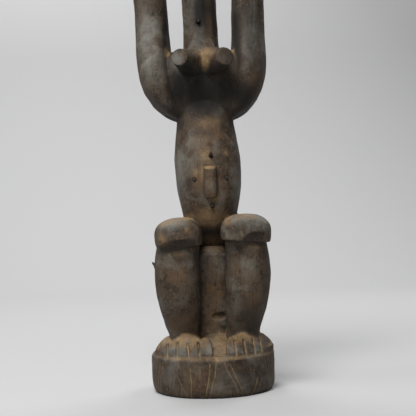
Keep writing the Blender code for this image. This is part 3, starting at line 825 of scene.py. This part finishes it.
# Stains laid out on the front view: x, height, half width, half height, strength
stains = {
    # some of these also paint light: on the saddle between the breasts, on the lower belly and in the shaded
    # gap above the stool
    "dust": (
        (6, 48, 10, 14, 0.9), (5, 38, 9, 5, 0.9), (-2, 60, 10, 7, 0.4), (2, 330, 13, 9, 0.8),
        (2, 321, 6, 11, 1), (2, 170, 22, 14, 0.7), (2, 262, 20, 10, 0.3), (3, 146, 16, 10, 0.6),
        (-18, 171, 9, 6, 0.8), (18, 168, 7, 8, 0.7), (-34, 173, 14, 4, 0.5), (3, 224, 6, 3, 0.4),
        (-9, 214, 7, 7, 0.35), (-1, 232, 8, 10, 0.6), (19, 233, 3, 4, 0.5), (6, 190, 9, 6, 0.5),
        (-35, 334, 4, 8, 0.7), (29, 334, 4, 6, 0.7), (-4.5, 214, 2.5, 14, 0.6), (3, 72, 9, 6, 0.4),
        (42, 141, 16, 2.5, 0.3), (-30, 137, 20, 2.5, 0.25), (31, 153.5, 1.6, 3, 0.8), (-21, 160, 3, 4, 0.7),
        (-44, 152, 6, 8, 0.5), (56, 154, 2, 2, 0.5), (-20, 344, 3, 12, 0.5), (-55, 50, 3, 8, 0.5),
    ),
    "brown": (
        (2, 100, 14, 46, 1), (-28, 72, 20, 24, 0.8), (-30, 118, 20, 16, 0.6), (0, 252, 24, 30, 1),
        (-8, 214, 18, 26, 0.6), (8, 205, 20, 24, 0.5), (6, 366, 9, 26, 0.9), (8, 340, 7, 26, 0.7),
        (50, 300, 12, 20, 0.4), (-26, 160, 14, 10, 0.4), (40, 96, 12, 30, 0.5), (0, 175, 20, 14, 0.6),
        (-10, 18, 50, 20, 0.4), (-56, 46, 8, 10, 0.4), (20, 315, 12, 12, 0.6), (30, 118, 18, 14, 0.35),
    ),
    # tan dust and painted light, only on what faces up: the lit tops of the insteps and knees and the navel's
    # ledge
    "litLedgeDust": (
        (-33, 53, 50, 9, 0.85), (33, 56, 42, 9, 0.85), (-54, 48, 5, 8, 0.5), (8, 50, 12, 12, 0.6),
        (-22, 172, 14, 6, 0.9), (18, 170, 8, 8, 0.8), (-38, 168, 16, 9, 0.6), (34, 172, 20, 8, 0.5),
        (0, 138, 16, 6, 0.3), (58, 43, 6, 4, 0.9), (2.4, 219.5, 8, 4, 1),
    ),
    # soot and old oil, where no hand or cloth reaches, and painted shade: the near-black under the chest, on
    # the neck under the chin and inside the arms
    "sootAndShade": (
        (-25, 298, 16, 36, 1), (-30, 290, 8, 28, 0.8), (-2, 295, 34, 32, 1), (20, 296, 20, 30, 0.9),
        (0, 282, 30, 14, 0.9), (-1, 374, 13, 38, 1), (14, 372, 6, 34, 0.8), (38, 288, 20, 26, 0.85),
        (-28, 262, 20, 9, 0.5), (38, 262, 26, 16, 0.9), (2, 276, 26, 14, 0.8), (4, 136, 14, 8, 0.25),
        (27, 345, 6, 50, 0.7), (50, 350, 18, 70, 0.35), (-15, 311, 14, 13, 0.95), (18, 311, 11, 11, 0.7),
        (-35, 353, 9, 66, 0.9), (34, 350, 7, 60, 0.6),
    ),
    # grey bloom where hands have rubbed the wood, and painted highlight on the lit left sides, the belly's
    # left and the knees' tops
    "bloomAndHighlight": (
        (-56, 350, 14, 50, 0.75), (-52, 302, 16, 22, 0.6), (-25, 322, 9, 10, 1), (-4, 343, 9, 16, 0.5),
        (-27, 210, 11, 40, 1), (29, 195, 9, 40, 0.9), (48, 166, 18, 10, 0.8), (50, 350, 12, 44, 0.6),
        (-40, 165, 16, 12, 0.5), (36, 120, 12, 16, 0.5), (24, 90, 6, 30, 0.6), (-2, 45, 8, 8, 0.9),
        (20, 46, 6, 8, 0.9), (-40, 20, 16, 14, 0.15), (-30, 43, 26, 7, 0.6), (-34, 166, 20, 13, 1),
        (34, 169, 20, 12, 1), (20, 14, 26, 12, 0.4), (-20, 375, 6, 40, 0.5), (20, 320, 9, 9, 0.4),
        (-18, 118, 5, 20, 0.5),
    ),
    # painted shade: these dark spots darken the chest's underside, the shins' lower parts, the knees'
    # undersides, the navel's cast shadow and the arms' inner sides; a few darken the toes and the plinth
    "dark": (
        (-2, 288, 32, 20, 1), (8, 374, 12, 16, 0.8), (-28, 74, 22, 24, 0.5), (38, 68, 20, 30, 0.7),
        (4, 138, 12, 9, 0.2), (-17.5, 205, 7, 9, 0.8), (-42, 266, 24, 20, 0.7), (-40, 18, 24, 18, 0.4),
        (45, 150, 16, 7, 0.5), (-31, 146, 24, 6, 0.5), (20, 20, 44, 16, 0.4), (-30, 44, 28, 4, 0.4),
        (40, 44, 20, 4, 0.4), (-30, 370, 5, 50, 0.5), (40, 290, 24, 14, 0.6), (3, 193, 7, 3, 0.8),
        (50, 350, 18, 60, 0.45), (2, 366, 12, 30, 0.6), (24, 321, 11, 11, 0.7), (0, 260, 26, 16, 0.7),
        (-33, 350, 8, 60, 0.8), (33, 345, 9, 60, 0.9), (-3, 338, 12, 16, 0.35),
    ),
}
masks = {}
for stain, spots in stains.items():
    masks[stain] = np.zeros(len(points))
    for px, pz, wide, tall, strength in spots:
        masks[stain] = np.maximum(masks[stain], blob(front, (px, pz), (wide, tall)) * strength)
facesUp = np.clip(normals[:, 2] * 3 - 0.9, 0, 1) * (y < 0)
litLedgeDust = masks.pop("litLedgeDust") * facesUp
# the soot with painted shade, and the bloom with painted highlight, run on round the sides; the soot and
# painted shade keep off the breasts' tips and tops
notBack = np.clip(0.9 - 3 * normals[:, 1], 0, 1)
for stain in masks:
    masks[stain] *= notBack if stain in ("sootAndShade", "bloomAndHighlight") else facesFront
masks["sootAndShade"] *= (y > -37) | (normals[:, 2] < -0.15)
# the dust mask also takes the painted light on the upward-facing ledges
dust = np.maximum(masks["dust"], litLedgeDust)
rimDust = np.clip(1 - np.abs(z - plinth["height"] - 2) / 2.4, 0, 1) * (outwards > 53) * (normals[:, 2] > 0.1)
patchy = np.clip(0.5 + 0.8 * cloud(points, (9, 9, 9), 23), 0.1, 1)
topDust = np.clip(normals[:, 2], 0, 1) ** 2 * np.clip(hollow * 1.4, 0, 1)
for layer in (rimDust * patchy * 0.8, topDust * 0.9, crevice * 0.45 * (z < 60), lineDust, partings * 0.3):
    dust = np.maximum(dust, layer)
for side in (-1, 1):
    for highX, tipX in legs["toeGrooves"][side]:
        path = ((side * highX + 1, 50.5 if side < 0 else 53.5), (side * tipX + 1, 38))
        dust = np.maximum(dust, near(front, path, 2.6) * (y < -12) * (z > 36) * facesFront * 1.1)
dust = dust * (0.72 + 0.3 * cloud(points, (4, 4, 4), 21))
masks["dust"] = dust
masks["hollow"] = np.maximum(hollow, crackMark)
masks["crack"] = np.maximum(crackMark, pitMark * 0.7)
masks["up"] = 0.5 + 0.5 * spread(normals, edges, 12)[:, 2]

# The dense skin is thinned, and the masks carried over to the points that stay
figure.data.vertices.foreach_set("co", points.astype(np.float32).ravel())
figure.data.update()
thin = figure.modifiers.new("thin", "DECIMATE")
thin.use_collapse_triangulate = True
thin.ratio = min(1, carving["triangles"] / (2 * len(figure.data.polygons)))
applyModifiers(figure)
tree = treeOf(points)
source = [tree.find(vertex.co)[1] for vertex in figure.data.vertices]
for name, values in masks.items():
    layer = figure.data.attributes.new(name, "FLOAT", "POINT")
    layer.data.foreach_set("value", values.clip(0, 1)[source].astype(np.float32))
print(len(figure.data.polygons), "triangles stay on the figure")


def linear(hexColour):
    # an sRGB hex colour as the linear one that shaders use
    parts = [int(hexColour[i : i + 2], 16) / 255 for i in (1, 3, 5)]
    return (*(c / 12.92 if c <= 0.04045 else ((c + 0.055) / 1.055) ** 2.4 for c in parts), 1)


def add(tree, kind, values=None, links=None, **settings):
    # one node with its settings, its socket values and what is plugged into it
    node = tree.nodes.new(kind)
    for name, value in settings.items():
        setattr(node, name, value)
    for socket, value in (values or {}).items():
        node.inputs[socket].default_value = value
    for socket, source in (links or {}).items():
        tree.links.new(source, node.inputs[socket])
    return node


def emptyMaterial(name):
    made = bpy.data.materials.new(name)
    made.use_nodes = True
    made.node_tree.nodes.clear()
    return made, made.node_tree


# Old tropical hardwood, carved with adze and knife, then oiled, smoked and handled for decades.
# The eye sees a dark brown ground with fine upright grain, a grey bloom where hands have rubbed it,
# with painted highlight on the lit left sides and tops, redder bare wood where the patina has gone,
# near-black soot with painted shade under the chest, under the chin and inside the arms, painted shade
# on what faces down and in hollows, and pale tan dust in cuts and on ledges, with painted light on the ledges.
hardwood = {
    "ground": "#4a4238",
    # dark wood for the grain and mottle, and also the colour of the painted shade
    "dark": "#28231e",
    "sootAndShade": "#100e0c",
    "bloomAndHighlight": "#6d6c65",
    "brown": "#5b4631",
    "fleck": "#84603f",
    "ash": "#7c7a72",
    "dust": "#957a57",
    "ior": 1.45,  # wood under old oil
    "specular": 0.25,  # soot and dust take most of the gloss away
    "roughness": (0.56, 0.88),  # rubbed, dusty
    "grainWidth": 0.9,  # mm; real pores are 0.2 mm wide, drawn coarser so that they show
    "grainLength": 16,
    "mottle": 13,  # mm, as are the next sizes
    "patch": 24,
    "fleckSize": 2.6,
    "scratchWidth": 0.7,  # real ones are finer
    "scratchLength": 9,
    "scratchSlant": (0.12, 0.2, 0),
    "bump": 0.65,
    "bumpDepth": 0.0004,  # metres
}


def agedHardwood(look):
    made, tree = emptyMaterial("agedOiledHardwood")
    place = add(tree, "ShaderNodeTexCoord").outputs["Object"]
    mark = {name: add(tree, "ShaderNodeAttribute", attribute_name=name).outputs["Fac"] for name in masks}

    def noise(size, detail, roughness, where=place, warp=0.0):
        values = {"Scale": 1000 / size, "Detail": detail, "Roughness": roughness, "Distortion": warp}
        return add(tree, "ShaderNodeTexNoise", values, {"Vector": where}).outputs["Fac"]

    def ramp(value, low, high, toLow=0.0, toHigh=1.0):
        values = {"From Min": low, "From Max": high, "To Min": toLow, "To Max": toHigh}
        return add(tree, "ShaderNodeMapRange", values, {"Value": value}).outputs["Result"]

    def maths(operation, a, b):
        values = {i: v for i, v in enumerate((a, b)) if isinstance(v, float)}
        links = {i: v for i, v in enumerate((a, b)) if not isinstance(v, float)}
        return add(tree, "ShaderNodeMath", values, links, operation=operation, use_clamp=True).outputs[0]

    def mixed(share, a, b):
        values = {i: linear(look[v]) for i, v in ((6, a), (7, b)) if isinstance(v, str)}
        links = {i: v for i, v in ((6, a), (7, b)) if not isinstance(v, str)}
        return add(tree, "ShaderNodeMix", values, {0: share, **links}, data_type="RGBA").outputs[2]

    grainShape = {"Scale": (1, 1, look["grainWidth"] / look["grainLength"])}
    along = add(tree, "ShaderNodeMapping", grainShape, {"Vector": place}).outputs["Vector"]
    grain = noise(look["grainWidth"], 4, 0.62, along)
    streak = noise(look["grainWidth"] * 5, 3, 0.5, along)
    mottle = noise(look["mottle"], 8, 0.68)
    patch = noise(look["patch"], 5, 0.62, warp=0.4)
    fleck = noise(look["fleckSize"], 3, 0.7)
    scratchShape = {"Scale": (1, 1, look["scratchWidth"] / look["scratchLength"])}
    scratchShape["Rotation"] = look["scratchSlant"]
    slanting = add(tree, "ShaderNodeMapping", scratchShape, {"Vector": place}).outputs["Vector"]
    scratch = noise(look["scratchWidth"], 2, 0.5, slanting)

    colour = mixed(ramp(mottle, 0.4, 0.58), "dark", "ground")
    colour = mixed(ramp(streak, 0.42, 0.7, 0, 0.5), colour, "dark")
    bare = maths("MULTIPLY", maths("ADD", mark["brown"], 0.16), ramp(mottle, 0.34, 0.56, 0.2, 1))
    colour = mixed(bare, colour, "brown")
    # rubbed bloom, and painted highlight that keeps to what faces up
    rubbedAndLit = maths("ADD", mark["bloomAndHighlight"], ramp(patch, 0.5, 0.6, 0, 0.6))
    rubbedAndLit = maths("MULTIPLY", rubbedAndLit, ramp(mottle, 0.3, 0.6, 0.25, 0.95))
    rubbedAndLit = maths("MULTIPLY", rubbedAndLit, ramp(mark["brown"], 0.2, 1, 1, 0.35))
    rubbedAndLit = maths("MULTIPLY", rubbedAndLit, ramp(mark["up"], 0.2, 0.6, 0.1, 1))
    colour = mixed(rubbedAndLit, colour, "bloomAndHighlight")
    colour = mixed(ramp(grain, 0.46, 0.3, 0, 0.6), colour, "dark")
    rusty = maths("MULTIPLY", ramp(fleck, 0.52, 0.72, 0, 0.65), ramp(mottle, 0.56, 0.42, 0.15, 1))
    colour = mixed(rusty, colour, "fleck")
    ashen = maths("MULTIPLY", ramp(scratch, 0.62, 0.74, 0, 0.5), ramp(patch, 0.45, 0.6, 0.1, 1))
    colour = mixed(ashen, colour, "ash")
    # painted shade: darker where the surface faces down, in hollows and under the dark stain spots
    shaded = maths("MAXIMUM", mark["dark"], ramp(mark["up"], 0.36, 0.1, 0, 0.9))
    shaded = maths("MAXIMUM", shaded, ramp(mark["hollow"], 0.15, 0.9, 0, 0.6))
    colour = mixed(maths("MULTIPLY", shaded, 0.9), colour, "dark")
    # soot, and painted shade under the chest, under the chin and inside the arms
    colour = mixed(maths("MULTIPLY", mark["sootAndShade"], 0.92), colour, "sootAndShade")
    # dust, and painted light on the upward-facing ledges, which share one mask
    dustAndLedgeLight = maths("MULTIPLY", mark["dust"], ramp(fleck, 0.25, 0.6, 0.45, 1.15))
    colour = mixed(dustAndLedgeLight, colour, "dust")
    colour = mixed(ramp(mark["crack"], 0.3, 0.9, 0, 0.85), colour, "dark")
    low, high = look["roughness"]
    rough = ramp(mottle, 0.3, 0.7, low, low + 0.16)
    rough = add(tree, "ShaderNodeMix", {3: high}, {0: dustAndLedgeLight, 2: rough}).outputs[0]
    height = add(tree, "ShaderNodeMath", {1: 0.5}, {0: fleck, 2: grain}, operation="MULTIPLY_ADD").outputs[0]
    relief = {"Strength": look["bump"], "Distance": look["bumpDepth"]}
    bump = add(tree, "ShaderNodeBump", relief, {"Height": height}).outputs["Normal"]
    links = {"Base Color": colour, "Roughness": rough, "Normal": bump}
    gloss = {"IOR": look["ior"], "Specular IOR Level": look["specular"]}
    shader = add(tree, "ShaderNodeBsdfPrincipled", gloss, links)
    add(tree, "ShaderNodeOutputMaterial", {}, {"Surface": shader.outputs[0]})
    return made


figure.data.materials.clear()
figure.data.materials.append(agedHardwood(hardwood))
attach(figure, "root")
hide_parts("figure")

# Hand-forged iron, left to oxidise in oiled wood: blue-black scale with rust-brown blooms.
pegIron = {
    "scale": "#23282b",
    "rust": "#4a3325",
    "metallic": 0.55,
    "roughness": 0.52,
    "patch": 1.4,  # mm
}


def forgedIron(look):
    made, tree = emptyMaterial("forgedOxidisedIron")
    place = add(tree, "ShaderNodeTexCoord").outputs["Object"]
    noise = {"Scale": 1000 / look["patch"], "Detail": 5, "Roughness": 0.65}
    spots = add(tree, "ShaderNodeTexNoise", noise, {"Vector": place}).outputs["Fac"]
    edge = {"From Min": 0.45, "From Max": 0.66}
    share = add(tree, "ShaderNodeMapRange", edge, {"Value": spots}).outputs["Result"]
    colours = {6: linear(look["scale"]), 7: linear(look["rust"])}
    colour = add(tree, "ShaderNodeMix", colours, {0: share}, data_type="RGBA").outputs[2]
    finish = {"To Min": look["roughness"] - 0.1, "To Max": look["roughness"] + 0.25}
    rough = add(tree, "ShaderNodeMapRange", finish, {"Value": spots}).outputs["Result"]
    relief = {"Strength": 0.5, "Distance": 0.0002}
    bump = add(tree, "ShaderNodeBump", relief, {"Height": spots}).outputs["Normal"]
    links = {"Base Color": colour, "Roughness": rough, "Normal": bump}
    shader = add(tree, "ShaderNodeBsdfPrincipled", {"Metallic": look["metallic"]}, links)
    add(tree, "ShaderNodeOutputMaterial", {}, {"Surface": shader.outputs[0]})
    return made


# The pegs' free ends: share of the radius left, how far they are bent over, and how much is broken away
pegs = {
    "neck_peg": {"taper": (0.8, 0.8), "lean": (0.1, 0.6), "broken": 0},
    "belly_peg_top": {"taper": (0.6, 0.85), "lean": (-0.2, 3), "broken": 0},
    "belly_peg_right": {"taper": (1, 1), "lean": (0, 0), "broken": 0},
    "belly_peg_left": {"taper": (1, 1), "lean": (0, 0), "broken": 0},
    "belly_peg_bottom": {"taper": (0.85, 0.85), "lean": (-0.3, 0.5), "broken": 0},
    "calf_peg": {"taper": (1, 1.9), "lean": (0.3, 0.6), "broken": 1.1},
}
# where along a peg, from 0 deep in the wood to 1 at the free end, each change starts
pegEnds = {"bent": 0.6, "broken": 0.8, "rounded": 0.93}
ironFinish = forgedIron(pegIron)


def forgedPeg(node, shape):
    low, high = (np.array(corner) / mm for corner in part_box(node))
    middle, size = (low + high) / 2, high - low
    axis = int(np.argmax(size))
    length = size[axis]
    radius = np.delete(size, axis).max() / 2
    sides, steps = 28, 22
    rings = []
    for step in range(steps + 1):
        share = step / steps
        out = max(0, share - pegEnds["bent"]) / (1 - pegEnds["bent"])
        ring = radius
        if share > pegEnds["rounded"]:
            nearEnd = (share - pegEnds["rounded"]) / (1 - pegEnds["rounded"])
            ring *= math.sqrt(max(0.02, 1 - nearEnd**2 * 0.75))
        loop = []
        for i in range(sides):
            angle = 2 * math.pi * i / sides
            square = 1 / max(abs(math.cos(angle)), abs(math.sin(angle))) ** 0.22  # hammered a little square
            narrow, tall = (1 + (end - 1) * out for end in shape["taper"])
            a = ring * narrow * square * 0.93 * math.cos(angle) + shape["lean"][0] * out
            b = ring * tall * square * 0.93 * math.sin(angle) + shape["lean"][1] * out
            along = share * length
            if share > pegEnds["broken"]:
                lost = (share - pegEnds["broken"]) / (1 - pegEnds["broken"])
                along -= lost * (1 - math.sin(angle)) * shape["broken"]
            loop.append((a, b, along))
        rings.append(loop)
    # the free end points to -Y on the front pegs and to -X on the calf
    grid = np.array(rings)
    flat = grid.reshape(-1, 3)
    world = np.empty_like(flat)
    others = [i for i in range(3) if i != axis]
    world[:, axis] = high[axis] - flat[:, 2]
    world[:, others[0]] = middle[others[0]] + flat[:, 0]
    world[:, others[1]] = middle[others[1]] + flat[:, 1]
    spin = world - middle
    spin[:, axis] = 0
    spin /= np.maximum(np.linalg.norm(spin, axis=1), 1e-6)[:, None]
    world += spin * (cloud(world * mm, (0.9, 0.9, 0.9), 31) * 0.09)[:, None]
    bm = closedSkin([[Vector(p) * mm for p in ring] for ring in world.reshape(grid.shape)])
    turnOutwards(bm)
    peg = placeObject(node + "_forged", bm)
    for face in peg.data.polygons:
        face.use_smooth = len(face.vertices) == 4
    peg.data.materials.append(ironFinish)
    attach(peg, "root")
    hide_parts(node)
    return peg


for node, shape in pegs.items():
    forgedPeg(node, shape)
print("stage 5: the pegs are in")

# Floor, backdrop, light and camera. None of these is part of the object.
studio = {
    "paper": "#b4b4b4",
    "sky": "#e6e8ec",
    "skyStrength": 0.1,
    "sweepStart": 1.1,  # where the paper starts to curve up behind the figure
    "sweepRadius": 0.6,
    # place, size, power, what it is aimed at
    "lights": {
        "overhead": ((-0.27, -0.8, 1.3), 0.6, 22, (0, 0, 0.2)),
        "window": ((-1.3, -0.5, 0.9), 0.9, 5.6, (0, 0, 0.2)),
        "front": ((-0.05, -1.7, 0.25), 0.4, 1.7, (0, 0, 0.08)),
        "backdropLight": ((-0.5, 0.9, 1.7), 0.8, 22, (-0.35, 1.7, 0.4)),
        "behind": ((0.8, 0.9, 1.2), 0.7, 9, (0, 0, 0.25)),
    },
}


def paperSweep():
    bm = bmesh.new()
    start, radius = studio["sweepStart"], studio["sweepRadius"]
    profile = [(-3, 0), (start, 0)]
    turns = np.radians(np.arange(6, 91, 6))
    profile += [(start + radius * math.sin(t), radius - radius * math.cos(t)) for t in turns]
    profile += [(start + radius, 3)]
    rows = [[bm.verts.new((side, depth, height)) for depth, height in profile] for side in (-3, 3)]
    for i in range(len(profile) - 1):
        bm.faces.new((rows[0][i], rows[1][i], rows[1][i + 1], rows[0][i + 1]))
    sweep = placeObject("paperSweep", bm)
    for face in sweep.data.polygons:
        face.use_smooth = True
    made, tree = emptyMaterial("mattPaper")
    shader = add(tree, "ShaderNodeBsdfPrincipled", {"Base Color": linear(studio["paper"]), "Roughness": 0.9})
    add(tree, "ShaderNodeOutputMaterial", {}, {"Surface": shader.outputs[0]})
    sweep.data.materials.append(made)


def softLight(name, place, size, power, aim):
    lamp = bpy.data.lights.new(name, "AREA")
    lamp.energy = power
    lamp.size = size
    made = bpy.data.objects.new(name, lamp)
    bpy.context.scene.collection.objects.link(made)
    made.location = place
    made.rotation_euler = (Vector(aim) - made.location).to_track_quat("-Z", "Y").to_euler()


paperSweep()
for name, light in studio["lights"].items():
    softLight(name, *light)
world = bpy.data.worlds.new("studio")
world.use_nodes = True
world.node_tree.nodes["Background"].inputs["Color"].default_value = linear(studio["sky"])
world.node_tree.nodes["Background"].inputs["Strength"].default_value = studio["skyStrength"]
bpy.context.scene.world = world
bpy.context.scene.view_settings.view_transform = "Standard"

# the photo's 416 pixels cover 416 mm at 1 m
shot = {"across": 0.416, "distance": 1, "height": 0.18, "roll": -2, "sensor": 36}
lens = bpy.data.cameras.new("camera")
lens.sensor_width = shot["sensor"]
lens.lens = shot["sensor"] * shot["distance"] / shot["across"]
lens.clip_start = 0.01
camera = bpy.data.objects.new("camera", lens)
bpy.context.scene.collection.objects.link(camera)
level = Matrix.Rotation(math.radians(90), 4, "X")
roll = Matrix.Rotation(math.radians(shot["roll"]), 4, "Z")
camera.matrix_world = Matrix.Translation((0, -shot["distance"], shot["height"])) @ level @ roll
bpy.context.scene.camera = camera

print("stage 6: done")
